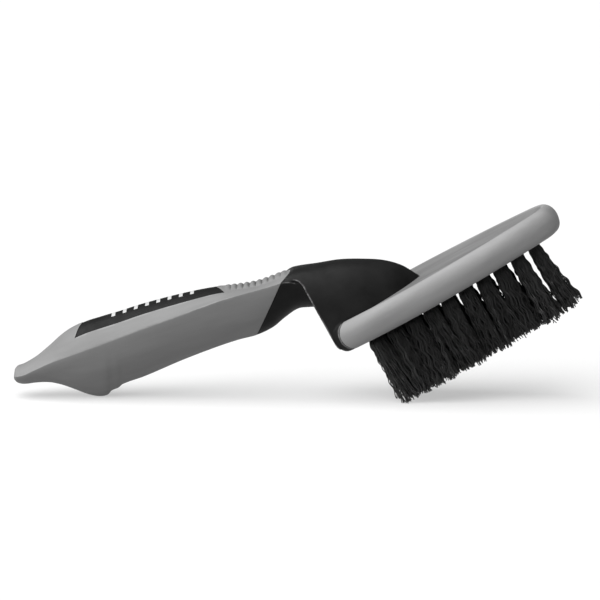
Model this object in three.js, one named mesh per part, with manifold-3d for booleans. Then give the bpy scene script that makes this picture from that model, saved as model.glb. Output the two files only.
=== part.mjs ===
// Wheel brush: a hard core, a soft grip sleeve, a soft head bumper and bristle tufts in blind holes.
// Millimetres, +Z up, +X from the tail of the handle to the head, mirror-symmetric about the XZ plane.
// The brush stands as it does on a table: on the heel of its handle and on the tips of its rear bristles.
// The head has a frame of its own: u along the head, v across it, w square to its bristle face.

import * as THREE from 'three';
import { mergeVertices } from 'three/addons/utils/BufferGeometryUtils.js';
import Module from 'manifold-3d';

const wasm = await Module();
wasm.setup();

// ---------------------------------------------------------------- driving dimensions

const GAP = 0.3; // clearance between pieces that touch
const FAR = 200; // reach of a cutting block beyond the brush

// Handle: heights above the table of its crest, side crease and belly, and its half width, along the brush
const HANDLE = [
  { x: 0, crest: 13.8, crease: 11, belly: 8.2, half: 7 },
  { x: 1.2, crest: 15.2, crease: 11.3, belly: 6.9, half: 8.6 },
  { x: 4.5, crest: 16.4, crease: 12, belly: 6.2, half: 9.8 },
  { x: 10.8, crest: 20.2, crease: 15.1, belly: 6.9, half: 11.4 },
  { x: 17, crest: 25.4, crease: 18.3, belly: 7, half: 13.2 },
  { x: 23, crest: 30.8, crease: 20.8, belly: 5.8, half: 14.6 },
  { x: 28.4, crest: 34.5, crease: 22.9, belly: 3.9, half: 15.5 },
  { x: 36, crest: 37.9, crease: 25.7, belly: 1, half: 16 },
  { x: 41.4, crest: 39.6, crease: 27.7, belly: -0.9, half: 16 },
  { x: 45.6, crest: 40.9, crease: 29.2, belly: 0.8, half: 16 },
  { x: 47.4, crest: 41.4, crease: 29.9, belly: 2.8, half: 16 },
  { x: 50.8, crest: 42.4, crease: 31.2, belly: 4.3, half: 16 },
  { x: 53, crest: 43.1, crease: 32, belly: 6.1, half: 16 },
  { x: 64, crest: 46.6, crease: 36.3, belly: 10.1, half: 16 },
  { x: 82, crest: 51.3, crease: 42.8, belly: 17.9, half: 16 },
  { x: 99, crest: 54.6, crease: 49.1, belly: 24.5, half: 16 },
  { x: 110, crest: 55, crease: 52.5, belly: 28.2, half: 16 },
  { x: 119, crest: 56.3, crease: 55, belly: 30.6, half: 15.8 },
  { x: 127, crest: 59.3, crease: 57.3, belly: 34.5, half: 15.5 },
  { x: 133, crest: 62, crease: 58.9, belly: 39.5, half: 15 },
  { x: 139, crest: 62.6, crease: 58, belly: 43.6, half: 14 },
  { x: 144, crest: 60.5, crease: 55, belly: 44.4, half: 13 },
  { x: 150, crest: 57, crease: 52, belly: 44.6, half: 12 },
];
const HANDLE_STEP = 3.6; // distance between the sections of the handle's skin
const BELLY_ROUNDNESS = 1.6; // 2 is a half ellipse, 1 a V
const CREASE_INSET = 0.6; // drop of the crease in a section, as a share of the section's inset
const CROWN_POINTS = 12; // steps across the crown of a section
const BELLY_POINTS = 14; // steps round its belly

// Grip
const SLEEVE_WALL = 2.5;
const SPINE_START = 14; // the core's spine begins here, and the tail in front of it is solid
const GRIP_END = [
  [103.4, -5],
  [130.8, 58.7],
  [145, 70.7],
]; // x, z of the slanted edge between the grip and the neck, below, at and above the side crease
const RIBS = { start: 103.2, pitch: 3.05, count: 10, height: 1.2, half: 8 };
const LABEL = { rear: 30.1, front: 103.5, half: 10, rearNotch: 3.4, frontNotch: 4.2, recess: 0.25 };

// Head
const PITCH = THREE.MathUtils.degToRad(29.3); // slope of the head
const HEAD_X = 161.1; // place along the brush of the head's own origin
const HEAD_REAR = -1; // u of the head's rear wall
const HEAD_WIDEST = { u: 42, v: 30 };
const FRONT_ARC = { u: 108.7, radius: 15, from: THREE.MathUtils.degToRad(66) };
const HEAD_POINTS = 96; // points round the head's outline
const RIM_HEIGHT = 14.1;
const RECESS = { floor: 12.9, level: 50, slope: 0.018 }; // its floor's w at u = level, falling forwards
const RIM_SECTION = [
  [4.6, 0],
  [2.7, 0.6],
  [1.1, 2.4],
  [0.3, 4.9],
  [0, 7.6],
  [0.5, 10.3],
  [1.8, 12.6],
  [3.9, RIM_HEIGHT],
  [6.1, 13.8],
  [8.2, 13.2],
  [9.6, RECESS.floor],
]; // inset from the outline and height w of the rim, from its bottom edge over its crest into the recess
const REAR_ROUND = { u: 6, w: 6.6, radius: 7 }; // rounding of the head's lower rear edge
const BUMPER_END = { u: 3.1, heel: 8, heelTop: 7.2, shoulder: 7 }; // rounded ends of the U-shaped bumper
const PLATE = { inset: 5.5, bottom: 0.4, top: 10.6 }; // the drilled plate inside the bumper

// Neck: height w of its crest above the bristle face, its half width at its foot, and how full its sides
// and its shoulders are
const NECK = [
  { u: -14, crest: 47.2, half: 20, fullness: 1.15, shoulder: 0.8 },
  { u: -8, crest: 47, half: 20.4, fullness: 1.1, shoulder: 0.76 },
  { u: -1, crest: 46.4, half: 21, fullness: 1, shoulder: 0.68 },
  { u: 10, crest: 42.7, half: 22, fullness: 0.88, shoulder: 0.56 },
  { u: 20, crest: 39.2, half: 20.8, fullness: 0.76, shoulder: 0.52 },
  { u: 30, crest: 34, half: 17.4, fullness: 0.66, shoulder: 0.52 },
  { u: 39, crest: 28.2, half: 12.8, fullness: 0.6, shoulder: 0.52 },
  { u: 45.5, crest: 21.6, half: 7.6, fullness: 0.6, shoulder: 0.52 },
  { u: 49.8, crest: 14.1, half: 2.5, fullness: 0.6, shoulder: 0.52 },
];
// The ridge that bounds the neck's sides: up the head's rear wall, round this arc, back to the side crease
const RIDGE = { u: -7.4, w: 37.8, radius: 6.4, turn: THREE.MathUtils.degToRad(100), rise: 0.31 };
const NECK_FOOT = 3; // w at which the neck stands inside the plate
const NECK_STEPS = 20;
const NECK_SIDE_POINTS = 10; // steps from crest to foot

// Bristles
const TUFT_COLUMNS = 10;
const TUFT_PITCH = 9.8;
const FIRST_TUFT = 17.6; // u of the rear column
const TUFT_ROWS = [-0.54, -0.19, 0.19, 0.54]; // share of the head's half width
const FRONT_ROWS = [-0.3, 0.3]; // rows of the last column
const TUFT = { top: 7.6, tip: -34.9, topRadius: 2.7, tipRadius: 4.4, sides: 12 };

// ---------------------------------------------------------------- materials

const materials = {
  core: new THREE.MeshStandardMaterial({ color: 0x1c1c1d, roughness: 0.55, metalness: 0 }),
  sleeve: new THREE.MeshStandardMaterial({ color: 0x858585, roughness: 0.75, metalness: 0 }),
  bumper: new THREE.MeshStandardMaterial({ color: 0x999999, roughness: 0.7, metalness: 0 }),
  bristle: new THREE.MeshStandardMaterial({ color: 0x101010, roughness: 0.5, metalness: 0 }),
};

// ---------------------------------------------------------------- solids

// Closed skin over a row of rings with equal point counts, each counter-clockwise as seen from ahead
function loft(rings) {
  const count = rings[0].length;
  const corners = rings.flat();
  const faces = [];
  for (let i = 0; i + 1 < rings.length; i++) {
    for (let j = 0; j < count; j++) {
      const a = i * count + j;
      const b = i * count + ((j + 1) % count);
      faces.push(a, b, b + count, a, b + count, a + count);
    }
  }
  const capEnd = (ring, first, forward) => {
    const centre = ring.reduce((sum, p) => sum.add(p), new THREE.Vector3()).divideScalar(count);
    const hub = corners.push(centre) - 1;
    for (let j = 0; j < count; j++) {
      const a = first + j;
      const b = first + ((j + 1) % count);
      faces.push(hub, ...(forward ? [a, b] : [b, a]));
    }
  };
  capEnd(rings[0], 0, false);
  capEnd(rings.at(-1), (rings.length - 1) * count, true);
  const geometry = new THREE.BufferGeometry().setFromPoints(corners);
  geometry.setIndex(faces);
  return geometry;
}

// Block with a side-view outline, reaching `half` to each side of the middle plane
function sideBlock(shape, half) {
  const depth = 2 * half;
  const geometry = new THREE.ExtrudeGeometry(shape, { depth, bevelEnabled: false, curveSegments: 10 });
  return geometry.translate(0, 0, -half).rotateX(Math.PI / 2);
}

function shapeOf(points) {
  return new THREE.Shape(points.map(([x, y]) => new THREE.Vector2(x, y)));
}

function toSolid(geometry) {
  const bare = geometry.clone();
  bare.deleteAttribute('normal');
  bare.deleteAttribute('uv');
  const merged = mergeVertices(bare, 1e-4);
  const mesh = new wasm.Mesh({
    numProp: 3,
    vertProperties: Float32Array.from(merged.getAttribute('position').array),
    triVerts: Uint32Array.from(merged.getIndex().array),
  });
  return new wasm.Manifold(mesh);
}

function toGeometry(solid) {
  const mesh = solid.getMesh();
  const geometry = new THREE.BufferGeometry();
  geometry.setAttribute('position', new THREE.BufferAttribute(mesh.vertProperties, 3));
  geometry.setIndex(new THREE.BufferAttribute(mesh.triVerts, 1));
  geometry.computeVertexNormals();
  return geometry;
}

// Station between the given ones, each field a cubic whose slopes come from the neighbours
function stationAt(stations, key, at) {
  const last = stations.length - 1;
  const index = THREE.MathUtils.clamp(stations.findLastIndex((s) => s[key] <= at), 0, last - 1);
  const slope = (k, field) => {
    const before = stations[Math.max(k - 1, 0)];
    const after = stations[Math.min(k + 1, last)];
    return (after[field] - before[field]) / (after[key] - before[key]);
  };
  const [a, b] = [stations[index], stations[index + 1]];
  const span = b[key] - a[key];
  const t = (at - a[key]) / span;
  const result = {};
  for (const field of Object.keys(a)) {
    const rise = slope(index, field) * span;
    const fall = slope(index + 1, field) * span;
    const bend = 2 * (a[field] - b[field]) + rise + fall;
    result[field] = ((bend * t + 3 * (b[field] - a[field]) - 2 * rise - fall) * t + rise) * t + a[field];
  }
  return result;
}

// ---------------------------------------------------------------- handle

// Height of the thumb ribs above the crown at x along the brush and y across it
function ribHeight(x, y) {
  const along = (x - RIBS.start) / (RIBS.pitch * RIBS.count);
  if (along <= 0 || along >= 1 || Math.abs(y) >= RIBS.half) return 0;
  const wave = Math.abs(Math.sin(Math.PI * along * RIBS.count));
  const fade = Math.sqrt(Math.sin(Math.PI * along)) * (1 - (y / RIBS.half) ** 4);
  return RIBS.height * wave * fade;
}

// Ring of the handle at x: a parabolic crown from crease to crease, then a rounded V below them
function handleRing(x, inset, ribbed) {
  const s = stationAt(HANDLE, 'x', x);
  const half = s.half - inset;
  const crest = s.crest - inset;
  const crease = s.crease - CREASE_INSET * inset;
  const ring = [];
  for (let i = 0; i < CROWN_POINTS; i++) {
    const share = 1 - (2 * i) / CROWN_POINTS;
    const rib = ribbed ? ribHeight(x, share * half) : 0;
    ring.push(new THREE.Vector3(x, share * half, crest - (crest - crease) * share ** 2 + rib));
  }
  for (let i = 0; i < BELLY_POINTS; i++) {
    const angle = (Math.PI * i) / BELLY_POINTS;
    const across = Math.abs(Math.cos(angle)) ** (2 / BELLY_ROUNDNESS) * Math.sign(Math.cos(angle));
    const down = Math.sin(angle) ** (2 / BELLY_ROUNDNESS);
    ring.push(new THREE.Vector3(x, -across * half, crease - down * (crease - s.belly - inset)));
  }
  return ring;
}

// Places of the sections: a fixed grid along the handle, finer in the round of the tail and over the ribs
function handlePlaces(from, to, ribbed) {
  const places = [from, to];
  const addGrid = (start, end, step) => {
    for (let x = start; x < end; x += step) {
      if (x > from + GAP && x < to - GAP) places.push(x);
    }
  };
  const roundEnd = HANDLE[2].x;
  const ribsEnd = RIBS.start + RIBS.pitch * RIBS.count;
  addGrid(0, roundEnd, HANDLE_STEP / 3);
  addGrid(roundEnd, ribbed ? RIBS.start : to, HANDLE_STEP);
  if (ribbed) {
    addGrid(RIBS.start, ribsEnd, RIBS.pitch / 4);
    addGrid(ribsEnd, to, HANDLE_STEP);
  }
  return places.sort((a, b) => a - b);
}

function handleSolid(from, to, inset, ribbed = false) {
  return toSolid(loft(handlePlaces(from, to, ribbed).map((x) => handleRing(x, inset, ribbed))));
}

// Everything on the grip's side of its slanted front edge, moved forward by `shift`
function gripSide(shift) {
  const edge = GRIP_END.map(([x, z]) => [x + shift, z]);
  return toSolid(sideBlock(shapeOf([[-FAR, edge[0][1]], ...edge, [-FAR, edge[2][1]]]), FAR));
}

// Upright block over the label panel, with a V notch in each end, from the side creases upwards
function labelBlock(inset) {
  const { rear, front, half, rearNotch, frontNotch } = LABEL;
  const outline = shapeOf([
    [rear + inset, -half + inset],
    [front - inset, -half + inset],
    [front - frontNotch - inset, 0],
    [front - inset, half - inset],
    [rear + inset, half - inset],
    [rear + rearNotch + inset, 0],
  ]);
  const plan = new THREE.ExtrudeGeometry(outline, { depth: FAR, bevelEnabled: false });
  const creases = HANDLE.map(({ x, crease }) => [x, crease]);
  const aboveCreases = shapeOf([...creases, [HANDLE.at(-1).x, FAR], [0, FAR]]);
  return toSolid(plan).intersect(toSolid(sideBlock(aboveCreases, half)));
}

function gripSleeve() {
  const neckEnd = HANDLE.at(-1).x;
  const outside = handleSolid(0, neckEnd, 0, true).intersect(gripSide(0));
  const bore = handleSolid(SPINE_START - GAP, neckEnd, SLEEVE_WALL);
  const table = toSolid(new THREE.BoxGeometry(FAR, FAR, FAR).translate(0, 0, -FAR / 2));
  return outside.subtract(bore).subtract(labelBlock(0)).subtract(table);
}

function handleCore() {
  const neckEnd = HANDLE.at(-1).x;
  const spine = handleSolid(SPINE_START, neckEnd, SLEEVE_WALL + GAP);
  const panel = handleSolid(SPINE_START, GRIP_END[1][0], LABEL.recess).intersect(labelBlock(GAP));
  const collar = handleSolid(GRIP_END[0][0], neckEnd, 0).subtract(gripSide(GAP));
  return spine.add(panel).add(collar);
}

// ---------------------------------------------------------------- head

// Half of the head's outline from the middle of its rear wall round to its tip, in u and v
function headCurve() {
  const { u, radius, from } = FRONT_ARC;
  const arcStart = [u + radius * Math.cos(from), radius * Math.sin(from)];
  const pull = 24; // how far the side's curve leaves the front arc before it bends
  const curve = new THREE.Path();
  curve.moveTo(HEAD_REAR, 0);
  curve.lineTo(HEAD_REAR, 15);
  curve.bezierCurveTo(HEAD_REAR, 22, 2, 24.4, 9, 26);
  curve.bezierCurveTo(18, 28.1, 30, HEAD_WIDEST.v, HEAD_WIDEST.u, HEAD_WIDEST.v);
  curve.bezierCurveTo(
    HEAD_WIDEST.u + 20,
    HEAD_WIDEST.v,
    arcStart[0] - pull * Math.sin(from),
    arcStart[1] + pull * Math.cos(from),
    ...arcStart,
  );
  curve.absarc(u, 0, radius, from, 0, true);
  return curve;
}

// Outline points with their outward normals, counter-clockwise as seen from above the head
const headOutline = (() => {
  const half = headCurve().getSpacedPoints(HEAD_POINTS / 2);
  const loop = [...half.slice(1, -1).map((p) => new THREE.Vector2(p.x, -p.y)), ...half.toReversed()];
  return loop.map((point, i) => {
    const ahead = loop[(i + 1) % loop.length];
    const behind = loop.at(i - 1);
    const normal = new THREE.Vector2(ahead.y - behind.y, behind.x - ahead.x).normalize();
    return { point, normal };
  });
})();

// Ring of the head at that inset from the outline, falling forwards by `slope`
function headRing(inset, w, slope = 0) {
  return headOutline.map(({ point, normal }) => {
    const u = point.x - normal.x * inset;
    return new THREE.Vector3(u, point.y - normal.y * inset, w - slope * (u - RECESS.level));
  });
}

function halfWidthAt(u) {
  const above = headOutline.filter(({ point }) => point.y > 0);
  const nearest = above.reduce((a, b) => (Math.abs(a.point.x - u) < Math.abs(b.point.x - u) ? a : b));
  return nearest.point.y;
}

// Side view of the head with its rounded lower rear edge
function headSideBlock() {
  const { u, w, radius } = REAR_ROUND;
  const shape = new THREE.Shape();
  shape.moveTo(u, w - radius);
  shape.absarc(u, w, radius, -Math.PI / 2, -Math.PI, true);
  shape.lineTo(u - radius, FAR);
  shape.lineTo(FAR, FAR);
  shape.lineTo(FAR, w - radius);
  return toSolid(sideBlock(shape, FAR));
}

// Side view of the space that the bumper takes: its ends are rounded where they are let into the core
function bumperSideBlock(grow) {
  const { u, heel, heelTop, shoulder } = BUMPER_END;
  const shoulderTop = RIM_HEIGHT + 0.4;
  const shape = new THREE.Shape();
  shape.moveTo(u + heel, heelTop - heel - grow);
  shape.absarc(u + heel, heelTop, heel + grow, -Math.PI / 2, -Math.PI, true);
  shape.absarc(u + shoulder, shoulderTop - shoulder, shoulder + grow, Math.PI, Math.PI / 2, true);
  shape.lineTo(FAR, shoulderTop + grow);
  shape.lineTo(FAR, heelTop - heel - grow);
  return toSolid(sideBlock(shape, FAR));
}

// Outside of the whole head. The rim's crest is level, and the recess inside it slopes more and more.
function headEnvelope() {
  const crest = RIM_SECTION.find(([, w]) => w === RIM_HEIGHT)[0];
  const floor = RIM_SECTION.at(-1)[0];
  const rings = RIM_SECTION.map(([inset, w]) => {
    const share = Math.max(inset - crest, 0) / (floor - crest);
    return headRing(inset, w, share * RECESS.slope);
  });
  return toSolid(loft(rings)).intersect(headSideBlock());
}

function plateSolid(grow, bottom) {
  const inset = PLATE.inset - grow;
  return toSolid(loft([headRing(inset, bottom), headRing(inset, PLATE.top + grow)]));
}

// Section of the neck at u: from the foot up one side, over the crest and down the other
function neckRing(u, grow) {
  const { crest, half, fullness, shoulder } = stationAt(NECK, 'u', u);
  const top = crest + grow;
  const foot = half + grow;
  const flank = new THREE.CubicBezierCurve(
    new THREE.Vector2(foot, NECK_FOOT),
    new THREE.Vector2(0.86 * foot, NECK_FOOT + fullness * (top - NECK_FOOT)),
    new THREE.Vector2(shoulder * foot, top),
    new THREE.Vector2(0, top),
  );
  const rising = flank.getPoints(NECK_SIDE_POINTS);
  const falling = rising.slice(0, -1).toReversed().map((p) => new THREE.Vector2(-p.x, p.y));
  return [...rising, ...falling].map((p) => new THREE.Vector3(u, p.x, p.y));
}

function neckSolid(grow) {
  const start = NECK[0].u;
  const end = NECK.at(-1).u;
  const rings = [];
  for (let i = 0; i <= NECK_STEPS; i++) {
    rings.push(neckRing(start + ((end - start) * i) / NECK_STEPS, grow));
  }
  rings.push(neckRing(end, grow).map((p) => p.setX(end + 0.1 + grow)));
  return toSolid(loft(rings));
}

// Side view of everything ahead of and above the ridge, with the head's rounded lower rear edge
function ridgeBlock() {
  const { u, w, radius, turn, rise } = RIDGE;
  const bottom = REAR_ROUND.w - REAR_ROUND.radius;
  const shape = new THREE.Shape();
  shape.moveTo(FAR, bottom);
  shape.lineTo(REAR_ROUND.u, bottom);
  shape.absarc(REAR_ROUND.u, REAR_ROUND.w, REAR_ROUND.radius, -Math.PI / 2, -Math.PI, true);
  shape.absarc(u, w, radius, 0, turn, false);
  shape.lineTo(u - FAR, w + radius + rise * FAR);
  shape.lineTo(FAR, w + radius + rise * FAR);
  return toSolid(sideBlock(shape, FAR));
}

function headBumper() {
  const taken = plateSolid(GAP, -RIM_HEIGHT).add(neckSolid(GAP));
  return headEnvelope().intersect(bumperSideBlock(0)).subtract(taken);
}

function headCore() {
  const wrap = headEnvelope().subtract(bumperSideBlock(GAP));
  return plateSolid(0, PLATE.bottom).add(wrap).add(neckSolid(0).intersect(ridgeBlock()));
}

// ---------------------------------------------------------------- bristles

// Tufts: name, u and v of the middle of the hole, and the radius that the row leaves for the tip
const tuftPlaces = [];
for (let column = 0; column < TUFT_COLUMNS; column++) {
  const u = FIRST_TUFT + column * TUFT_PITCH;
  const half = halfWidthAt(u);
  const rows = column === TUFT_COLUMNS - 1 ? FRONT_ROWS : TUFT_ROWS;
  const spacing = (rows[1] - rows[0]) * half;
  const tipRadius = Math.min(TUFT.tipRadius, spacing / 2 - GAP / 2);
  rows.forEach((share, row) => {
    tuftPlaces.push({ name: `tuft_${column + 1}_${row + 1}`, u, v: share * half, tipRadius });
  });
}

// Slim cone from the tip plane up into the head
function tuftGeometry({ u, v, tipRadius }, grow) {
  const ring = (w, radius) => {
    return Array.from({ length: TUFT.sides }, (_, i) => {
      const angle = (2 * Math.PI * i) / TUFT.sides;
      return new THREE.Vector3(u + radius * Math.cos(angle), v + radius * Math.sin(angle), w);
    });
  };
  return loft([ring(TUFT.tip, tipRadius + grow), ring(TUFT.top + grow, TUFT.topRadius + grow)]);
}

// ---------------------------------------------------------------- assembly

// Height of the head's origin that sets the rear edge of the first tufts' tips on the table
const rearTip = FIRST_TUFT - TUFT.tipRadius;
const headHeight = -(rearTip * Math.sin(PITCH) + TUFT.tip * Math.cos(PITCH));

const head = new THREE.Group();
head.position.set(HEAD_X, 0, headHeight);
head.rotation.y = -PITCH;
head.updateMatrix();

function coreGeometry() {
  const neckCut = toSolid(toGeometry(gripSide(GAP)).applyMatrix4(head.matrix.clone().invert()));
  let headPart = headCore().subtract(neckCut);
  for (const place of tuftPlaces) headPart = headPart.subtract(toSolid(tuftGeometry(place, GAP)));
  return toGeometry(handleCore().add(toSolid(toGeometry(headPart).applyMatrix4(head.matrix))));
}

function addPiece(group, name, geometry, material) {
  const mesh = new THREE.Mesh(geometry, material);
  mesh.name = name;
  group.add(mesh);
}

const brush = new THREE.Group();
brush.add(head);
addPiece(brush, 'core', coreGeometry(), materials.core);
addPiece(brush, 'grip_sleeve', toGeometry(gripSleeve()), materials.sleeve);
addPiece(head, 'head_bumper', toGeometry(headBumper()), materials.bumper);
for (const place of tuftPlaces) addPiece(head, place.name, tuftGeometry(place, 0), materials.bristle);

// The origin goes to the middle of the brush's footprint, on the table
const box = new THREE.Box3().setFromObject(brush, true);
brush.position.set(-(box.min.x + box.max.x) / 2, 0, -box.min.z);

export default brush;
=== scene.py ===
"""Wheel brush: grip sleeve, core, head bumper, crimped bristle tufts, their wire anchors and the print.

Shapes are made in brush space, in millimetres: x from the tip of the handle's tail towards the head, y
across, z up from the table. The head has a frame of its own: u along it, v across it, w square to its bristle
face. Every finished piece is put in the row's frame, in metres.
"""
import math

import bpy
import numpy as np
from mathutils import Matrix, Vector
from mathutils.bvhtree import BVHTree


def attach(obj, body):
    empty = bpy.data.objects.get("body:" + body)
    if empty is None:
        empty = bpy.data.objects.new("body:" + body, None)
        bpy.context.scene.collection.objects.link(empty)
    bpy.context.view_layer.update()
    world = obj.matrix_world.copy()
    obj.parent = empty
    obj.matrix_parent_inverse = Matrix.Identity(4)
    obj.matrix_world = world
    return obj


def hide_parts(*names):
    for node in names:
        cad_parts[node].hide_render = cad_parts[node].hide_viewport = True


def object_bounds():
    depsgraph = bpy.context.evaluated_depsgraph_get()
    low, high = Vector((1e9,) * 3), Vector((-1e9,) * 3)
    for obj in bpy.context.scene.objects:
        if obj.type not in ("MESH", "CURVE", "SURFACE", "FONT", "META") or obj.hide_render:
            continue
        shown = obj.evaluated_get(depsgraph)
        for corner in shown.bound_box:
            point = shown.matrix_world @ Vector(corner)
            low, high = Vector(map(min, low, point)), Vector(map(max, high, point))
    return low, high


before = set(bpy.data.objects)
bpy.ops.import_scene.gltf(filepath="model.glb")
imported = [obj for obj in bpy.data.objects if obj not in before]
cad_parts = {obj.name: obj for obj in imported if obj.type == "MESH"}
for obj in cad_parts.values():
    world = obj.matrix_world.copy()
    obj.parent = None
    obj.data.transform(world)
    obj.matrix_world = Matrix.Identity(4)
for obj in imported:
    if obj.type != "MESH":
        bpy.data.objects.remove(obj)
cad_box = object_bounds()

# ---------------------------------------------------------------- driving dimensions (mm)

MM = 0.001
SEAM = 0.15  # gap that shows between two pieces
FAR = 200  # reach of a cutting block beyond the brush
BODY = "root"
TO_ROW = Matrix.Translation((cad_box[0][0], 0, 0)) @ Matrix.Scale(MM, 4)

# Handle: x, then the heights of crest, side crease and belly, and the half width
HANDLE = np.array([
    (0, 13.8, 11, 8.2, 7),
    (1.2, 15.2, 11.3, 6.9, 8.6),
    (4.5, 16.4, 12, 6.2, 9.8),
    (10.8, 20.2, 15.1, 6.9, 11.4),
    (17, 25.4, 18.3, 7, 13.2),
    (23, 30.8, 20.8, 5.8, 14.6),
    (28.4, 34.5, 22.9, 3.9, 15.5),
    (36, 37.9, 25.7, 1, 16),
    (41.4, 39.6, 27.7, 0.05, 16),
    (45.6, 40.9, 29.2, 0.8, 16),
    (47.4, 41.4, 29.9, 2.8, 16),
    (50.8, 42.4, 31.2, 4.3, 16),
    (53, 43.1, 32, 6.1, 16),
    (64, 46.6, 36.3, 10.1, 16),
    (82, 51.3, 42.8, 17.9, 16),
    (99, 54.6, 49.1, 24.5, 16),
    (110, 55, 52.5, 28.2, 16),
    (119, 56.3, 55, 30.6, 15.8),
    (127, 59.3, 57.3, 34.5, 15.5),
    (133, 62, 58.9, 39.5, 15),
    (139, 62.6, 58, 43.6, 14),
    (144, 60.5, 55, 44.4, 13),
    (150, 57, 52, 44.6, 12),
])
HANDLE_END = HANDLE[-1, 0]
HANDLE_STEP = 0.8  # distance between the sections of the handle's skin
BELLY_ROUNDNESS = 1.6  # 2 is a half ellipse, 1 a V
CREASE_INSET = 0.6  # drop of the crease in a section, as a share of the section's inset
ROUND_TAIL = 4  # length of the tail's rounding, which has finer sections
SLEEVE_WALL = 2.5
HIDDEN = {"step": 3, "crown": 16, "belly": 20}  # coarse mesh of the spine and its bore, which aren't seen
SPINE = (14, 146)  # start and end of the core's spine
PANEL_END = 112  # the label panel is cut from a skin that ends inside the neck
COLLAR_START = 100  # the neck is cut from a skin that begins inside the grip
GRIP_END = [(103.4, -5), (130.8, 58.7), (145, 70.7)]  # x, z of the slanted edge between grip and neck
RIBS = {"start": 103.2, "pitch": 3.05, "count": 10, "height": 1.2, "half": 8, "steps": 20}
LABEL = {"rear": 30.1, "front": 103.5, "half": 10, "rear_notch": 3.4, "front_notch": 4.2, "recess": 0.25}

# Head
PITCH = math.radians(29.3)
HEAD_ORIGIN = (161.1, 0, 23.98)  # in brush space
TO_BRUSH = Matrix.Translation(HEAD_ORIGIN) @ Matrix.Rotation(-PITCH, 4, "Y")
HEAD_REAR = -1  # u of the head's rear wall
HEAD_WIDEST = (42, 30)  # u and v
FRONT_ARC = {"u": 108.7, "radius": 15, "from": math.radians(66)}
RIM_HEIGHT = 14.1
RECESS = {"floor": 12.9, "level": 50, "slope": 0.018}  # its floor's w at u = level, falling forwards
RECESS_TONE = {"edge": 4.8, "blend": 1}  # inset at which the recess's darker tone begins, and how fast it blends in
# Inset from the outline and height w of the rim, from its bottom edge over its crest into the recess
RIM_SECTION = np.array([
    (4.6, 0), (2.7, 0.6), (1.1, 2.4), (0.3, 4.9), (0, 7.6), (0.5, 10.3), (1.8, 12.6),
    (3.9, RIM_HEIGHT), (6.1, 13.8), (8.2, 13.2), (9.6, RECESS["floor"]),
])
REAR_ROUND = {"u": 6, "w": 6.6, "radius": 7}  # rounding of the head's lower rear edge
BUMPER_END = {"u": 3.1, "heel": 8, "heel_top": 7.2, "shoulder": 7}  # rounded ends of the U-shaped bumper
PLATE = {"inset": 5.5, "bottom": 0.4, "top": 10.6}  # the drilled plate inside the bumper

# Neck: u, then the height of the crest, the half width at the foot and the fullness of sides and shoulders
NECK = np.array([
    (-14, 47.2, 20, 1.15, 0.8),
    (-8, 47, 20.4, 1.1, 0.76),
    (-1, 46.4, 21, 1, 0.68),
    (10, 42.7, 22, 0.88, 0.56),
    (20, 39.2, 20.8, 0.76, 0.52),
    (30, 34, 17.4, 0.66, 0.52),
    (39, 28.2, 12.8, 0.6, 0.52),
    (45.5, 21.6, 7.6, 0.6, 0.52),
    (49.8, 14.1, 2.5, 0.6, 0.52),
])
# The ridge that bounds the neck's sides: up the head's rear wall, round this arc, back to the side crease
RIDGE = {"u": -7.4, "w": 37.8, "radius": 6.4, "turn": 100, "rise": 0.31}
NECK_FOOT = 3  # w at which the neck stands inside the plate
NECK_LEAN = 0.86  # how far the neck's sides lean in as they rise
NECK_NOSE = 0.4  # length of the neck's blunt front end
MOULDING = {"voxel": 0.42, "rounding": 5}  # mesh of the neck and the rear wall, with rounded edges

# Bristles
TUFT_COLUMNS = 10
TUFT_PITCH = 9.8
FIRST_TUFT = 17.6  # u of the rear column
TUFT_ROWS = (-0.54, -0.19, 0.19, 0.54)  # share of the head's half width
FRONT_ROWS = (-0.3, 0.3)  # rows of the last column
HOLE = {"radius": 3.0, "depth": 7.9}
TIP_PLANE = -37  # w of the plane to which the bristles are trimmed
FILAMENTS = 110  # in one tuft
FILAMENT_RADIUS = 0.24
FILAMENT_STEPS = 40
FILAMENT_SIDES = 4
GOLDEN_ANGLE = math.pi * (3 - math.sqrt(5))
CLUMPS = 14  # bundles in a tuft whose filaments are crimped in step
CLUMP_SPREAD = 0.8  # reach of the bundles' middles, as a share of the tuft's radius
GATHER = {"share": 0.65, "power": 1.5}  # how far and how late a filament is drawn to its bundle's middle
MOUTH_DEPTH = 3  # the tufts swell that far below their holes, to these radii, column by column
MOUTH_RADII = (4.6, 4.4, 4.2, 3.9, 3.6, 3.5, 3.5, 3.5, 3.4, 2.9)
TIP_RADIUS = 5.9
BEND = 1.6  # how late along its length a filament bends towards its tip's place
CRIMP = {"height": 0.6, "length": 8.2, "onset": 8}  # full height at that depth below the head
CRIMP_SPREAD = {"phase": 0.4, "angle": 0.3, "clump_length": 0.1, "length": 0.03}  # between filaments
LEAN = {"clump": 1.5, "filament": 0.6}  # spread of the tips
RAGGED = {"clump": 1.9, "filament": 1.6}  # spread of the lengths
# Forward shift of the tips, column by column: those on which the brush stands, and those splayed by use
SPLAY = (2.8, 1.6, 0.8, 0, 0, 0, 0, 0.4, 1, 2.6)
STRAY = {"share": 0.02, "reach": 4}  # filaments that stand off, and how far
SEED = 7

# Wire anchors: flat wire across the bottom of each hole
ANCHOR = {"length": 5.6, "height": 1.5, "thickness": 0.4, "top": 7.7, "arch": 0.35}

# Materials
TEXTURE = {"mottle": 120, "gloss": 260, "wear_and_highlight": 180}  # grains to the metre
WORN_AND_HIGHLIGHTED = (0.04, 0.12)  # bulge at which an edge begins to turn pale, and at which it is fully pale: partly wear, partly a painted highlight
WEAR_AND_HIGHLIGHT_SOFTENING = 4  # rounds in which the pale edge marks, wear and painted highlight, spread to the neighbouring points

# Print
PRINT_LIFT = 0.05
PRINT_DEPTH = 0.15
PRINT_STEP = 0.5  # distance between the points at which the print is laid on the surface
LABEL_BARS = {"start": 48.8, "pitch": 5.5, "count": 8, "width": 1.8, "half": 4.6}

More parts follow.
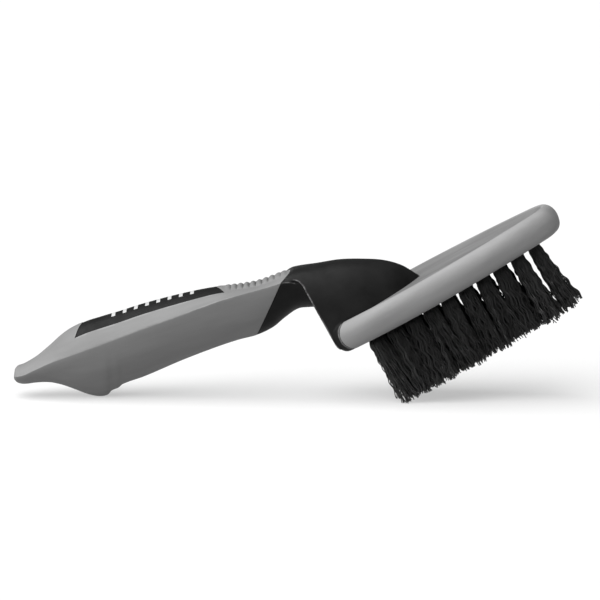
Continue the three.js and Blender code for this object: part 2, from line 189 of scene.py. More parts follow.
# Studio, its lengths in metres and its angles in degrees
FLOOR = {"reach": 9, "tone": 0.24, "glow": 0.48}
SUN = {"strength": 8.4, "width": 85, "turn": (17, -32, 0)}
SKY = (0.9, 0.17, 0.1, 0.13)  # brightness at the horizon and above it, and the heights where it fades
CAMERA = {"distance": 1.5, "elevation": 9, "half_view": 0.147, "along": 0.1401, "height": 0.0479}


# ---------------------------------------------------------------- mesh tools

def mesh_object(name, vertices, faces):
    mesh = bpy.data.meshes.new(name)
    mesh.from_pydata(np.asarray(vertices).tolist(), [], faces)
    mesh.update()
    piece = bpy.data.objects.new(name, mesh)
    bpy.context.scene.collection.objects.link(piece)
    return piece


def loft(name, rings):
    """Closed skin over rings of shape (rings, points, 3), with a fan over each end."""
    rings = np.asarray(rings, float)
    count, size = rings.shape[:2]
    hubs = [rings[0].mean(axis=0), rings[-1].mean(axis=0)]
    vertices = np.vstack([rings.reshape(-1, 3), hubs])
    first_hub = count * size
    last_ring = (count - 1) * size
    faces = []
    for i in range(size):
        j = (i + 1) % size
        for ring in range(0, last_ring, size):
            faces.append((ring + i, ring + j, ring + size + j, ring + size + i))
        faces.append((first_hub, j, i))
        faces.append((first_hub + 1, last_ring + i, last_ring + j))
    return mesh_object(name, vertices, faces)


def apply_modifiers(piece):
    graph = bpy.context.evaluated_depsgraph_get()
    mesh = bpy.data.meshes.new_from_object(piece.evaluated_get(graph))
    piece.modifiers.clear()
    piece.data = mesh


def combine(piece, other, operation):
    """Boolean with another piece, which is used up."""
    modifier = piece.modifiers.new("combine", "BOOLEAN")
    modifier.operation = operation
    modifier.solver = "MANIFOLD"
    modifier.object = other
    apply_modifiers(piece)
    bpy.data.objects.remove(other)
    return piece


def remesh(piece, voxel, smoothing):
    """Even mesh of that voxel size, with its edges rounded by so many smoothing steps."""
    grid = piece.modifiers.new("remesh", "REMESH")
    grid.mode = "VOXEL"
    grid.voxel_size = voxel
    round_off = piece.modifiers.new("smooth", "SMOOTH")
    round_off.iterations = smoothing
    apply_modifiers(piece)
    return piece


def side_block(name, outline, half=60):
    """Block with a side-view outline of (x, z) points, counter-clockwise, to both sides of the middle."""
    rings = [[(x, y, z) for x, z in outline] for y in (-half, half)]
    return loft(name, np.array(rings)[:, ::-1])


def upright_block(name, outline, bottom, top):
    return loft(name, [[(x, y, z) for x, y in outline] for z in (bottom, top)])


def arc(u, w, radius, start, stop, steps=16):
    """Points round a centre, from one angle to another, in degrees."""
    angles = np.radians(np.linspace(start, stop, steps))
    return [(u + radius * math.cos(a), w + radius * math.sin(a)) for a in angles]


def bezier(points, steps=40):
    a, b, c, d = (np.array(p, float) for p in points)
    t = np.linspace(0, 1, steps)[:, None]
    return (1 - t) ** 3 * a + 3 * (1 - t) ** 2 * t * b + 3 * (1 - t) * t ** 2 * c + t ** 3 * d


def stations_at(table, places):
    """Rows of the table at new places, by cubics whose slopes come from the neighbouring rows."""
    x = table[:, 0]
    before = np.maximum(np.arange(len(x)) - 1, 0)
    after = np.minimum(np.arange(len(x)) + 1, len(x) - 1)
    slopes = (table[after] - table[before]) / (x[after] - x[before])[:, None]
    i = np.clip(np.searchsorted(x, places, side="right") - 1, 0, len(x) - 2)
    span = (x[i + 1] - x[i])[:, None]
    t = ((places - x[i]) / span[:, 0])[:, None]
    a, b, rise, fall = table[i], table[i + 1], slopes[i] * span, slopes[i + 1] * span
    bend = 2 * (a - b) + rise + fall
    return ((bend * t + 3 * (b - a) - 2 * rise - fall) * t + rise) * t + a


def to_brush(piece):
    """Takes a piece from the head's frame to brush space."""
    piece.data.transform(TO_BRUSH)
    return piece


def point_vectors(mesh, field):
    """A vector field of all the mesh's points, of shape (points, 3)."""
    values = np.empty(3 * len(mesh.vertices))
    mesh.vertices.foreach_get(field, values)
    return values.reshape(-1, 3)


def mark_points(mesh, name, values):
    mesh.attributes.new(name, "FLOAT", "POINT").data.foreach_set("value", values)


def mark_wear_and_highlight(piece):
    """Attribute that is above 0 where the surface bulges out, softened over the neighbouring points; it pales
    edges as wear and as a painted highlight.
    """
    mesh = piece.data
    count = len(mesh.vertices)
    places, normals = point_vectors(mesh, "co"), point_vectors(mesh, "normal")
    ends = np.empty(2 * len(mesh.edges), int)
    mesh.edges.foreach_get("vertices", ends)
    a, b = ends.reshape(-1, 2).T
    step = places[a] - places[b]
    step /= np.linalg.norm(step, axis=1)[:, None] + 1e-9
    ends = np.concatenate([a, b])
    others = np.concatenate([b, a])
    rise = np.concatenate([(normals[a] * step).sum(axis=1), -(normals[b] * step).sum(axis=1)])
    neighbours = np.bincount(ends, minlength=count)
    bulge = np.bincount(ends, rise, count) / neighbours
    for _ in range(WEAR_AND_HIGHLIGHT_SOFTENING):
        bulge = 0.5 * bulge + 0.5 * np.bincount(ends, bulge[others], count) / neighbours
    mark_points(mesh, "wear_and_highlight", bulge)


def finish_piece(piece, material, node=None, sharp=40):
    """Puts a piece in the row's frame, with its material, body, slot and the CAD node that it stands for.

    Edges that turn by more than `sharp` degrees are shaded as edges.
    """
    piece.data.transform(TO_ROW)
    piece.data.shade_smooth()
    piece.data.set_sharp_from_angle(angle=math.radians(sharp))
    piece.data.materials.clear()
    piece.data.materials.append(material)
    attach(piece, BODY)
    if node:
        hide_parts(node)
    return piece


# ---------------------------------------------------------------- handle

def rib_height(x, y):
    """Height of the thumb ribs above the crown."""
    along = (x - RIBS["start"]) / (RIBS["pitch"] * RIBS["count"])
    inside = (along > 0) & (along < 1) & (np.abs(y) < RIBS["half"])
    wave = np.abs(np.sin(math.pi * along * RIBS["count"])) ** 0.8
    fade = np.sqrt(np.sin(math.pi * np.clip(along, 0, 1))) * (1 - (y / RIBS["half"]) ** 4)
    return np.where(inside, RIBS["height"] * wave * fade, 0)


def handle_rings(places, inset=0, ribbed=False, crown=64, belly=72):
    """Rings of the handle: a parabolic crown from crease to crease, then a rounded V below them."""
    s = stations_at(HANDLE, places)
    half = (s[:, 4] - inset)[:, None]
    crest = (s[:, 1] - inset)[:, None]
    crease = (s[:, 2] - CREASE_INSET * inset)[:, None]
    bottom = (s[:, 3] + inset)[:, None]
    share = 1 - 2 * np.arange(crown)[None, :] / crown
    top_y = share * half
    top_z = crest - (crest - crease) * share ** 2
    if ribbed:
        top_z = top_z + rib_height(places[:, None], top_y)
    angle = math.pi * np.arange(belly)[None, :] / belly
    power = 2 / BELLY_ROUNDNESS
    low_y = -half * np.abs(np.cos(angle)) ** power * np.sign(np.cos(angle))
    low_z = crease - (crease - bottom) * np.sin(angle) ** power
    y = np.hstack([top_y, low_y])
    z = np.hstack([top_z, low_z])
    x = np.broadcast_to(places[:, None], y.shape)
    return np.stack([x, y, z], axis=2)


def handle_skin(name, start, stop, inset=0, step=HANDLE_STEP, ribbed=False, **points):
    """Closed skin of the handle from start to stop, with finer sections round its tail and over its ribs."""
    places = [np.linspace(start, stop, round((stop - start) / step) + 1)]
    if start == 0:
        places.append(np.linspace(0, ROUND_TAIL, 21))
    if ribbed:
        length = RIBS["pitch"] * RIBS["count"]
        places.append(RIBS["start"] + np.linspace(0, length, RIBS["steps"] * RIBS["count"] + 1))
    every = np.unique(np.round(np.concatenate(places), 2))
    return loft(name, handle_rings(every, inset, ribbed, **points))


def grip_side(shift):
    """Block over everything on the grip's side of its slanted front edge."""
    edge = [(x + shift, z) for x, z in GRIP_END]
    return side_block("grip_side", [(-FAR, edge[0][1]), *edge, (-FAR, edge[-1][1])])


def label_block(inset):
    """Block over the label panel, with a V notch in each end, from the side creases upwards."""
    rear, front, half = LABEL["rear"] + inset, LABEL["front"] - inset, LABEL["half"] - inset
    outline = [
        (rear, -half), (front, -half), (front - LABEL["front_notch"], 0),
        (front, half), (rear, half), (rear + LABEL["rear_notch"], 0),
    ]
    plan = upright_block("label", outline, 0, FAR)
    creases = [(x, crease) for x, _, crease, _, _ in HANDLE]
    above = side_block("above", [*creases, (HANDLE_END, FAR / 2), (0, FAR / 2)])
    return combine(plan, above, "INTERSECT")


def make_grip_sleeve(material):
    sleeve = handle_skin("grip_skin", 0, HANDLE_END, ribbed=True)
    combine(sleeve, grip_side(0), "INTERSECT")
    bore = handle_skin("bore", SPINE[0] - SEAM, HANDLE_END, SLEEVE_WALL, **HIDDEN)
    combine(sleeve, bore, "DIFFERENCE")
    combine(sleeve, label_block(0), "DIFFERENCE")
    # pale edges of the sleeve: wear and a painted highlight along its creases
    mark_wear_and_highlight(sleeve)
    return finish_piece(sleeve, material, "grip_sleeve", 50)


# ---------------------------------------------------------------- head outline

def half_outline():
    """Half of the head's outline, from the middle of its rear wall round to its tip."""
    radius, turn = FRONT_ARC["radius"], FRONT_ARC["from"]
    pull = 24  # how far the side's curve leaves the front arc before it bends
    arc_start = (FRONT_ARC["u"] + radius * math.cos(turn), radius * math.sin(turn))
    before_arc = (arc_start[0] - pull * math.sin(turn), arc_start[1] + pull * math.cos(turn))
    return np.vstack([
        [(HEAD_REAR, 0)],
        bezier([(HEAD_REAR, 15), (HEAD_REAR, 22), (2, 24.4), (9, 26)]),
        bezier([(9, 26), (18, 28.1), (30, HEAD_WIDEST[1]), HEAD_WIDEST])[1:],
        bezier([HEAD_WIDEST, (HEAD_WIDEST[0] + 20, HEAD_WIDEST[1]), before_arc, arc_start])[1:],
        arc(FRONT_ARC["u"], 0, radius, math.degrees(turn), 0, 24)[1:],
    ])


def head_outline(count=360):
    """Even points round the head with their outward normals, counter-clockwise from above."""
    half = half_outline()
    loop = np.vstack([half * (1, -1), half[-2:0:-1]])
    closed = np.vstack([loop, loop[:1]])
    lengths = np.concatenate([[0], np.cumsum(np.linalg.norm(np.diff(closed, axis=0), axis=1))])
    at = np.linspace(0, lengths[-1], count, endpoint=False)
    points = np.stack([np.interp(at, lengths, closed[:, i]) for i in (0, 1)], axis=1)
    tangent = np.roll(points, -1, axis=0) - np.roll(points, 1, axis=0)
    normals = np.stack([tangent[:, 1], -tangent[:, 0]], axis=1)
    return points, normals / np.linalg.norm(normals, axis=1)[:, None]


OUTLINE, NORMALS = head_outline()


def head_ring(inset, w, slope=0.0):
    """Ring of the head at that inset from the outline, falling forwards by the slope."""
    flat = OUTLINE - NORMALS * inset
    return np.column_stack([flat, w - slope * (flat[:, 0] - RECESS["level"])])


def half_width_at(u):
    upper = OUTLINE[OUTLINE[:, 1] > 0]
    order = np.argsort(upper[:, 0])
    return float(np.interp(u, upper[order, 0], upper[order, 1]))


# ---------------------------------------------------------------- head and neck

# Rounded lower rear edge of the head in u and w, from its rear wall to its bottom
REAR_EDGE = arc(REAR_ROUND["u"], REAR_ROUND["w"], REAR_ROUND["radius"], 180, 270)


def smooth_section(points, steps):
    """The section's points joined by a smooth curve."""
    lengths = np.concatenate([[0], np.cumsum(np.linalg.norm(np.diff(points, axis=0), axis=1))])
    table = np.column_stack([lengths, points])
    return stations_at(table, np.linspace(0, lengths[-1], steps))[:, 1:]


def head_envelope():
    """Outside of the whole head. The rim's crest is level, and the recess inside it slopes more and more."""
    crest = RIM_SECTION[RIM_SECTION[:, 1] == RIM_HEIGHT][0, 0]
    floor = RIM_SECTION[-1, 0]
    rings = []
    for inset, w in smooth_section(RIM_SECTION, 60):
        share = max(inset - crest, 0) / (floor - crest)
        rings.append(head_ring(inset, w, share * RECESS["slope"]))
    side = [(FAR, REAR_EDGE[-1][1]), (FAR, FAR), (REAR_EDGE[0][0], FAR), *REAR_EDGE]
    return combine(loft("envelope", rings), side_block("head_side", side), "INTERSECT")


def bumper_side(grow):
    """Block over the space of the bumper, with its rounded ends."""
    u, heel, heel_top, shoulder = (BUMPER_END[k] for k in ("u", "heel", "heel_top", "shoulder"))
    shoulder_top = RIM_HEIGHT + 0.4
    outline = [
        (FAR, heel_top - heel - grow), (FAR, shoulder_top + grow),
        *arc(u + shoulder, shoulder_top - shoulder, shoulder + grow, 90, 180),
        *arc(u + heel, heel_top, heel + grow, 180, 270),
    ]
    return side_block("bumper_side", outline)


def plate(grow, bottom):
    inset = PLATE["inset"] - grow
    return loft("plate", [head_ring(inset, bottom), head_ring(inset, PLATE["top"] + grow)])


def neck(grow=0.0, steps=80):
    """The neck's full loft: each ring runs up one side, over the crest and down the other."""
    rings = []
    places = np.linspace(NECK[0, 0], NECK[-1, 0], steps)
    for u, crest, half, fullness, shoulder in stations_at(NECK, places):
        top, foot = crest + grow, half + grow
        flank = bezier([
            (foot, NECK_FOOT),
            (NECK_LEAN * foot, NECK_FOOT + fullness * (top - NECK_FOOT)),
            (shoulder * foot, top),
            (0, top),
        ], 30)
        both = np.vstack([flank, flank[-2::-1] * (-1, 1)])
        rings.append(np.column_stack([np.full(len(both), u), both]))
    nose = rings[-1] + (NECK_NOSE + grow, 0, 0)
    return loft("neck", [*rings, nose])


def ridge_block():
    """Block over everything ahead of and above the ridge, with the head's rounded lower rear edge."""
    u, w, radius = RIDGE["u"], RIDGE["w"], RIDGE["radius"]
    roof = w + radius + RIDGE["rise"] * FAR
    outline = [
        *REAR_EDGE, (FAR, REAR_EDGE[-1][1]), (FAR, roof), (u - FAR, roof),
        *arc(u, w, radius, RIDGE["turn"], 0, 24),
    ]
    return side_block("ridge", outline)


def make_core():
    """Spine, label panel, neck, rear wall and drilled plate in one moulding, still in brush space."""
    body = combine(neck(), ridge_block(), "INTERSECT")
    combine(body, combine(head_envelope(), bumper_side(SEAM), "DIFFERENCE"), "UNION")
    to_brush(body)
    combine(body, handle_skin("collar", COLLAR_START, HANDLE_END), "UNION")
    remesh(body, MOULDING["voxel"], MOULDING["rounding"])
    # pale edges of the core: wear and a painted highlight along the neck's ridge
    mark_wear_and_highlight(body)
    combine(body, grip_side(SEAM), "DIFFERENCE")
    spine = handle_skin("spine", *SPINE, SLEEVE_WALL + SEAM, **HIDDEN)
    panel = handle_skin("panel", SPINE[0], PANEL_END, LABEL["recess"])
    combine(panel, label_block(SEAM), "INTERSECT")
    for part in (spine, panel, to_brush(plate(0, PLATE["bottom"]))):
        combine(body, part, "UNION")
    for _, _, u, v in tuft_places():
        combine(body, to_brush(hole(u, v)), "DIFFERENCE")
    body.name = "core_moulding"
    return body


def mark_recess(bumper):
    """Attribute that grows from 0 on the ring to 1 in the darker-toned recess of a bumper in brush space."""
    to_head = np.array(TO_BRUSH.inverted())
    u, v, w = to_head[:3, :3] @ point_vectors(bumper.data, "co").T + to_head[:3, 3:]
    inset = np.full(len(u), np.inf)
    for outline_u, outline_v in OUTLINE:
        inset = np.minimum(inset, np.hypot(u - outline_u, v - outline_v))
    share = np.clip((inset - RECESS_TONE["edge"]) / RECESS_TONE["blend"], 0, 1) * (w > PLATE["top"])
    mark_points(bumper.data, "recess", share)


def make_bumper(material):
    bumper = combine(head_envelope(), bumper_side(0), "INTERSECT")
    taken = combine(plate(SEAM, -RIM_HEIGHT), neck(SEAM), "UNION")
    combine(bumper, taken, "DIFFERENCE")
    mark_recess(to_brush(bumper))
    bumper.name = "bumper_ring"
    return finish_piece(bumper, material, "head_bumper", 50)


# ---------------------------------------------------------------- bristles

def tuft_places():
    """(name, column, u, v) of every tuft's hole."""
    places = []
    for column in range(TUFT_COLUMNS):
        u = FIRST_TUFT + column * TUFT_PITCH
        rows = FRONT_ROWS if column == TUFT_COLUMNS - 1 else TUFT_ROWS
        for row, share in enumerate(rows):
            places.append((f"{column + 1}_{row + 1}", column, u, share * half_width_at(u)))
    return places


def hole(u, v):
    """Cutter for a blind hole, from below the plate's bottom to the hole's depth."""
    circle = arc(u, v, HOLE["radius"], 0, 360, 25)[:-1]
    return loft("hole", [[(x, y, w) for x, y in circle] for w in (-2, HOLE["depth"])])


def bundle_filaments(rng):
    """Place of every filament in a hole of radius 1, the number of its bundle, and that bundle's middle."""
    index = np.arange(FILAMENTS)
    angle = index * GOLDEN_ANGLE + rng.uniform(0, 6)
    root = np.sqrt((index[:, None] + 0.5) / FILAMENTS) * np.column_stack([np.cos(angle), np.sin(angle)])
    middles = rng.uniform(-CLUMP_SPREAD, CLUMP_SPREAD, (CLUMPS, 2))
    clump = np.linalg.norm(root[:, None] - middles, axis=2).argmin(axis=1)
    return root, clump, middles[clump]


def tip_lean(rng, root, clump, column):
    """How far every filament's tip stands from its straight course."""
    lean = rng.normal(0, LEAN["clump"], (CLUMPS, 2))[clump]
    lean = lean + rng.normal(0, LEAN["filament"], (FILAMENTS, 2))
    stray = rng.random(FILAMENTS) < STRAY["share"]
    lean[stray] += root[stray] * STRAY["reach"]
    lean[:, 0] += SPLAY[column]
    return lean


def crimp(rng, clump):
    """Phase, direction and wavelength of every filament's crimp, nearly the same within a bundle."""
    spread = CRIMP_SPREAD
    phase = rng.uniform(0, 2 * math.pi, CLUMPS)[clump] + rng.normal(0, spread["phase"], FILAMENTS)
    angle = rng.uniform(0, math.pi, CLUMPS)[clump] + rng.normal(0, spread["angle"], FILAMENTS)
    stretch = rng.uniform(1 - spread["clump_length"], 1 + spread["clump_length"], CLUMPS)[clump]
    stretch = stretch + rng.normal(0, spread["length"], FILAMENTS)
    return phase, np.column_stack([np.cos(angle), np.sin(angle)]), CRIMP["length"] * stretch


def filament_ends(rng, clump):
    """Height w of every filament's tip above the bristle face, below 0 because it points down."""
    bundles = TIP_PLANE + rng.uniform(0, RAGGED["clump"], CLUMPS)[clump]
    return bundles + rng.uniform(0, RAGGED["filament"], FILAMENTS)


def lift_off_table(flat, w):
    """The paths' w, with the points that would sink into the table put on it."""
    above_table = HEAD_ORIGIN[2] + math.sin(PITCH) * flat[:, :, 0] + math.cos(PITCH) * w
    return w + np.maximum(FILAMENT_RADIUS - above_table, 0) / math.cos(PITCH)


def filament_paths(rng, column, u, v):
    """Centre lines of one tuft's filaments in the head's frame, of shape (filaments, steps, 3)."""
    root, clump, middle = bundle_filaments(rng)
    lean = tip_lean(rng, root, clump, column)
    phase, crimp_axis, wavelength = crimp(rng, clump)
    end = filament_ends(rng, clump)

    start = ANCHOR["top"] - ANCHOR["height"]
    w = start + np.linspace(0, 1, FILAMENT_STEPS)[None, :] * (end[:, None] - start)
    swell = np.clip(-w / MOUTH_DEPTH, 0, 1)[:, :, None]
    out = np.clip(w / TIP_PLANE, 0, 1)[:, :, None]
    packed, mouth = HOLE["radius"] - 2 * FILAMENT_RADIUS, MOUTH_RADII[column]
    radius = packed + swell * (mouth - packed) + out * (TIP_RADIUS - mouth)
    towards = (middle - root)[:, None] * GATHER["share"] * out ** GATHER["power"]
    centre = (root[:, None] + towards) * radius + lean[:, None] * out ** BEND
    wave = np.sin(2 * math.pi * w / wavelength[:, None] + phase[:, None])
    height = CRIMP["height"] * np.clip(-w / CRIMP["onset"], 0, 1) * wave
    flat = centre + crimp_axis[:, None] * height[:, :, None] + (u, v)
    return np.concatenate([flat, lift_off_table(flat, w)[:, :, None]], axis=2)


def tubes(name, paths, radius):
    """Thin tubes along the paths, square to the head, with closed ends."""
    count, steps = paths.shape[:2]
    i = np.arange(FILAMENT_SIDES)
    j = np.roll(i, -1)
    angle = 2 * math.pi * i / FILAMENT_SIDES
    circle = np.column_stack([np.cos(angle), np.sin(angle), 0 * angle]) * radius
    vertices = (paths[:, :, None, :] + circle).reshape(-1, 3)
    ring = (np.arange(count)[:, None] * steps + np.arange(steps - 1)).reshape(-1, 1) * FILAMENT_SIDES
    below = ring + FILAMENT_SIDES
    sides = np.stack([ring + j, ring + i, below + i, below + j], axis=-1).reshape(-1, 4)
    first = np.arange(count)[:, None] * steps * FILAMENT_SIDES
    last = first + (steps - 1) * FILAMENT_SIDES
    return mesh_object(name, vertices, np.vstack([sides, first + i, last + i[::-1]]).tolist())


def make_tufts(material):
    rng = np.random.default_rng(SEED)
    for name, column, u, v in tuft_places():
        paths = filament_paths(rng, column, u, v)
        tuft = to_brush(tubes(f"bristles_{name}", paths, FILAMENT_RADIUS))
        finish_piece(tuft, material, f"tuft_{name}", 180)


def make_anchors(material):
    """Flat wire across the bottom of each hole, its lower edge arched where the tuft is folded over it."""
    half, thick = ANCHOR["length"] / 2, ANCHOR["thickness"] / 2
    top, bottom = ANCHOR["top"], ANCHOR["top"] - ANCHOR["height"]
    across = np.linspace(-half, half, 13)
    arch = [(x, bottom + ANCHOR["arch"] * math.cos(0.5 * math.pi * x / half)) for x in across]
    outline = [*arch, (half, top), (-half, top)]
    for name, _, u, v in tuft_places():
        rings = [[(u + x, v + y, w) for x, w in reversed(outline)] for y in (-thick, thick)]
        anchor = to_brush(loft(f"wire_anchor_{name}", rings))
        finish_piece(anchor, material, sharp=30)


# ---------------------------------------------------------------- print

def skin_patch(tree, corners):
    """Thin slab over a four-sided area in plan, laid on the surface below it: (vertices, faces)."""
    a, b, c, d = (np.array(p, float) for p in corners)
    along = max(2, round(np.linalg.norm(b - a) / PRINT_STEP) + 1)
    across = max(2, round(np.linalg.norm(d - a) / PRINT_STEP) + 1)
    s = np.linspace(0, 1, along)[:, None, None]
    t = np.linspace(0, 1, across)[None, :, None]
    plan = ((1 - s) * (1 - t) * a + s * (1 - t) * b + s * t * c + (1 - s) * t * d).reshape(-1, 2)
    ground = [tree.ray_cast(Vector((x, y, FAR)), Vector((0, 0, -1)))[0].z for x, y in plan]
    top = np.column_stack([plan, np.array(ground) + PRINT_LIFT])
    vertices = np.vstack([top, top - (0, 0, PRINT_DEPTH)])

    grid = np.arange(along * across).reshape(along, across)
    cells = np.stack([grid[:-1, :-1], grid[1:, :-1], grid[1:, 1:], grid[:-1, 1:]], axis=-1).reshape(-1, 4)
    border = np.concatenate([grid[:-1, 0], grid[-1, :-1], grid[:0:-1, -1], grid[0, :0:-1]])
    following = np.roll(border, -1)
    drop = along * across
    walls = np.column_stack([following, border, border + drop, following + drop])
    return vertices, np.vstack([cells, cells[:, ::-1] + drop, walls])


def print_piece(name, tree, patches, material):
    """One piece out of several patches of ink."""
    vertices, faces, count = [], [], 0
    for corners in patches:
        points, cells = skin_patch(tree, corners)
        vertices.append(points)
        faces.extend((cells + count).tolist())
        count += len(points)
    finish_piece(mesh_object(name, np.vstack(vertices), faces), material, sharp=30)


def bar_patches():
    """Straight bars across the label panel, evenly spaced."""
    half = LABEL_BARS["half"]
    patches = []
    for i in range(LABEL_BARS["count"]):
        rear = LABEL_BARS["start"] + i * LABEL_BARS["pitch"] - LABEL_BARS["width"] / 2
        front = rear + LABEL_BARS["width"]
        patches.append([(rear, -half), (front, -half), (front, half), (rear, half)])
    return patches


def make_print(core, material):
    """Print on the core, which is still in brush space."""
    mesh = core.data
    tree = BVHTree.FromPolygons([v.co for v in mesh.vertices], [p.vertices for p in mesh.polygons])
    print_piece("label_bars", tree, bar_patches(), material)


# ---------------------------------------------------------------- materials

def new_material(name):
    material = bpy.data.materials.new(name)
    material.use_nodes = True
    return material, material.node_tree.nodes, material.node_tree.links


def add_node(nodes, kind, **settings):
    node = nodes.new(kind)
    for key, value in settings.items():
        if key in node.inputs:
            node.inputs[key].default_value = value
        else:
            setattr(node, key, value)
    return node


def noise(nodes, links, scale, drawn=(1, 1, 1), tilt=0.0, detail=4):
    """Noise over the piece's own place, so many grains to the metre, drawn out along tilted axes."""
    place = add_node(nodes, "ShaderNodeTexCoord")
    axes = add_node(nodes, "ShaderNodeMapping", vector_type="TEXTURE", Rotation=(0, -tilt, 0), Scale=drawn)
    grain = add_node(nodes, "ShaderNodeTexNoise", Scale=scale, Detail=detail)
    links.new(place.outputs["Object"], axes.inputs["Vector"])
    links.new(axes.outputs["Vector"], grain.inputs["Vector"])
    return grain.outputs["Fac"]


def ramp(nodes, links, source, low, high, start=0.0, stop=1.0):
    """Number that goes from low to high as the source goes from start to stop."""
    scale = add_node(nodes, "ShaderNodeMapRange")
    for socket, value in zip(("From Min", "From Max", "To Min", "To Max"), (start, stop, low, high)):
        scale.inputs[socket].default_value = value
    links.new(source, scale.inputs["Value"])
    return scale.outputs["Result"]


def blend_colours(nodes, links, source, low, high):
    """Colour that goes from low to high over the source. Each is a grey level or another colour's socket."""
    mix = add_node(nodes, "ShaderNodeMix", data_type="RGBA")
    for socket, value in ((6, low), (7, high)):
        if isinstance(value, bpy.types.NodeSocket):
            links.new(value, mix.inputs[socket])
        else:
            mix.inputs[socket].default_value = (value, value, value, 1)
    links.new(source, mix.inputs[0])
    return mix.outputs[2]


def bump(nodes, links, source, depth):
    """Normal of a height map, its depth in metres."""
    node = add_node(nodes, "ShaderNodeBump", Distance=depth)
    links.new(source, node.inputs["Height"])
    return node.outputs["Normal"]


def worn_and_highlighted_colour(nodes, links, colour, wear_and_highlight):
    """The colour with its bulging edges turned paler, patch by patch: partly wear, partly a painted
    highlight.
    """
    bulge = add_node(nodes, "ShaderNodeAttribute", attribute_name="wear_and_highlight").outputs["Fac"]
    patchy = add_node(nodes, "ShaderNodeMath", operation="MULTIPLY")
    links.new(ramp(nodes, links, bulge, 0, 1, *WORN_AND_HIGHLIGHTED), patchy.inputs[0])
    patches = noise(nodes, links, TEXTURE["wear_and_highlight"])
    links.new(ramp(nodes, links, patches, 0.2, 1, 0.4, 0.6), patchy.inputs[1])
    return blend_colours(nodes, links, patchy.outputs[0], colour, wear_and_highlight)


def moulded(name, tones, gloss, specular, grain, depth, drawn=(1, 1, 1), tilt=0.0, wear_and_highlight=None, recess=None):
    """Moulded material: mottling drawn out along the flow, uneven gloss, a fine grain and pale edges that are
    partly wear and partly a painted highlight.

    tones, recess: darkest and lightest grey, of the piece and of the bumper's recess
    wear_and_highlight: grey of the pale edges, partly wear and partly a painted highlight
    gloss: least and most roughness
    grain, depth: grains to the metre, and their height in metres
    drawn, tilt: stretch and slope of the flow
    """
    material, nodes, links = new_material(name)
    shader = nodes["Principled BSDF"]
    mottle = ramp(nodes, links, noise(nodes, links, TEXTURE["mottle"], drawn, tilt), 0, 1, 0.3, 0.7)
    colour = blend_colours(nodes, links, mottle, *tones)
    if recess:
        share = add_node(nodes, "ShaderNodeAttribute", attribute_name="recess").outputs["Fac"]
        recess_tone = blend_colours(nodes, links, mottle, *recess)
        colour = blend_colours(nodes, links, share, colour, recess_tone)
    # pale bulging edges: partly wear, partly a painted highlight along ridges and creases
    if wear_and_highlight:
        colour = worn_and_highlighted_colour(nodes, links, colour, wear_and_highlight)
    links.new(colour, shader.inputs["Base Color"])
    uneven = ramp(nodes, links, noise(nodes, links, TEXTURE["gloss"], drawn, tilt), *gloss, 0.3, 0.7)
    links.new(uneven, shader.inputs["Roughness"])
    links.new(bump(nodes, links, noise(nodes, links, grain, detail=3), depth), shader.inputs["Normal"])
    shader.inputs["Specular IOR Level"].default_value = specular
    return material


def black_plastic():
    return moulded(
        "black_polypropylene", tones=(0.004, 0.007), gloss=(0.42, 0.55), specular=0.07,
        grain=2500, depth=0.00003, wear_and_highlight=0.14,
    )


def grip_rubber():
    return moulded(
        "grey_grip_rubber", tones=(0.102, 0.12), gloss=(0.55, 0.7), specular=0.3,
        grain=1800, depth=0.00005, drawn=(5, 1, 1), tilt=0.3, wear_and_highlight=0.16,
    )


def bumper_rubber():
    return moulded(
        "grey_bumper_rubber", tones=(0.124, 0.16), recess=(0.068, 0.102), gloss=(0.5, 0.65), specular=0.3,
        grain=1800, depth=0.00004, drawn=(6, 1, 1), tilt=PITCH,
    )


def bristle_nylon():
    return moulded(
        "black_nylon", tones=(0.003, 0.016), gloss=(0.3, 0.45), specular=0.3,
        grain=700, depth=0.00002, drawn=(0.3, 0.3, 6), tilt=PITCH,
    )


def print_ink():
    return moulded(
        "white_ink", tones=(0.28, 0.34), gloss=(0.4, 0.55), specular=0.3, grain=4000, depth=0.00001,
    )


def brass():
    material, nodes, links = new_material("brass_wire")
    shader = nodes["Principled BSDF"]
    shader.inputs["Base Color"].default_value = (0.66, 0.47, 0.21, 1)
    shader.inputs["Metallic"].default_value = 1
    tarnish = noise(nodes, links, 3000)
    links.new(ramp(nodes, links, tarnish, 0.3, 0.5), shader.inputs["Roughness"])
    links.new(bump(nodes, links, tarnish, 0.00002), shader.inputs["Normal"])
    return material


# ---------------------------------------------------------------- assembly

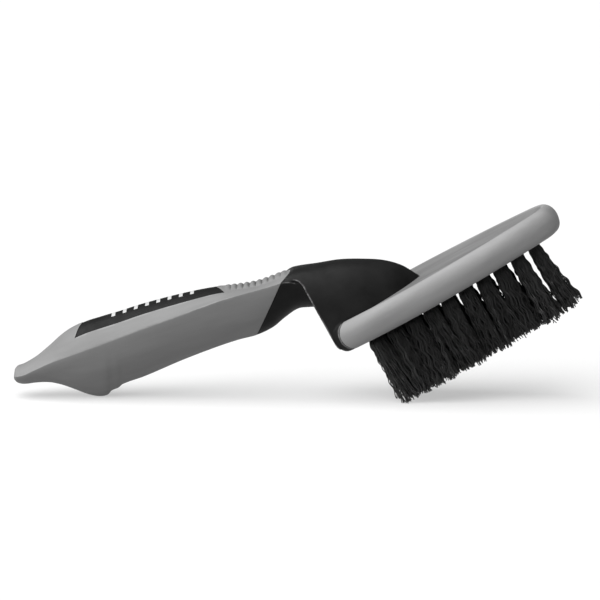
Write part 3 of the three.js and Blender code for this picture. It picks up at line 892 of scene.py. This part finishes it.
def make_stage():
    """Pale floor that glows a little, which keeps the shadows on it light."""
    reach, tone = FLOOR["reach"], FLOOR["tone"]
    corners = [(-reach, -reach, 0), (reach, -reach, 0), (reach, reach, 0), (-reach, reach, 0)]
    floor = mesh_object("floor", corners, [(0, 1, 2, 3)])
    material, nodes, _ = new_material("floor")
    shader = nodes["Principled BSDF"]
    shader.inputs["Base Color"].default_value = (tone, tone, tone, 1)
    shader.inputs["Roughness"].default_value = 0.8
    shader.inputs["Specular IOR Level"].default_value = 0.1
    shader.inputs["Emission Color"].default_value = (1, 1, 1, 1)
    shader.inputs["Emission Strength"].default_value = FLOOR["glow"]
    floor.data.materials.append(material)


def make_room():
    """A dim room with a pale horizon."""
    world = bpy.data.worlds.new("studio")
    world.use_nodes = True
    nodes, links = world.node_tree.nodes, world.node_tree.links
    direction = add_node(nodes, "ShaderNodeSeparateXYZ")
    links.new(add_node(nodes, "ShaderNodeTexCoord").outputs["Generated"], direction.inputs["Vector"])
    sky = nodes["Background"]
    sky.inputs["Color"].default_value = (1, 1, 1, 1)
    links.new(ramp(nodes, links, direction.outputs["Z"], *SKY), sky.inputs["Strength"])
    bpy.context.scene.world = world


def make_light():
    """A wide soft light above the brush, towards its tail and the camera."""
    lamp = bpy.data.lights.new("overhead", "SUN")
    lamp.energy = SUN["strength"]
    lamp.angle = math.radians(SUN["width"])
    light = bpy.data.objects.new("overhead", lamp)
    light.rotation_euler = [math.radians(turn) for turn in SUN["turn"]]
    bpy.context.scene.collection.objects.link(light)


def make_camera():
    """Long lens at the side of the brush, looking a little down on it."""
    target = Vector((cad_box[0][0] + CAMERA["along"], 0, CAMERA["height"]))
    distance, elevation = CAMERA["distance"], math.radians(CAMERA["elevation"])
    lens = bpy.data.cameras.new("camera")
    lens.angle = 2 * math.atan(CAMERA["half_view"] / distance)
    camera = bpy.data.objects.new("camera", lens)
    offset = Vector((0, -math.cos(elevation), math.sin(elevation))) * distance
    camera.location = target + offset
    camera.rotation_euler = (-offset).to_track_quat("-Z", "Y").to_euler()
    bpy.context.scene.collection.objects.link(camera)
    bpy.context.scene.camera = camera


bpy.context.scene.view_settings.view_transform = "Standard"
make_camera()
make_stage()
make_room()
make_light()
core = make_core()
make_print(core, print_ink())
finish_piece(core, black_plastic(), "core", 50)
make_grip_sleeve(grip_rubber())
make_bumper(bumper_rubber())
make_tufts(bristle_nylon())
make_anchors(brass())
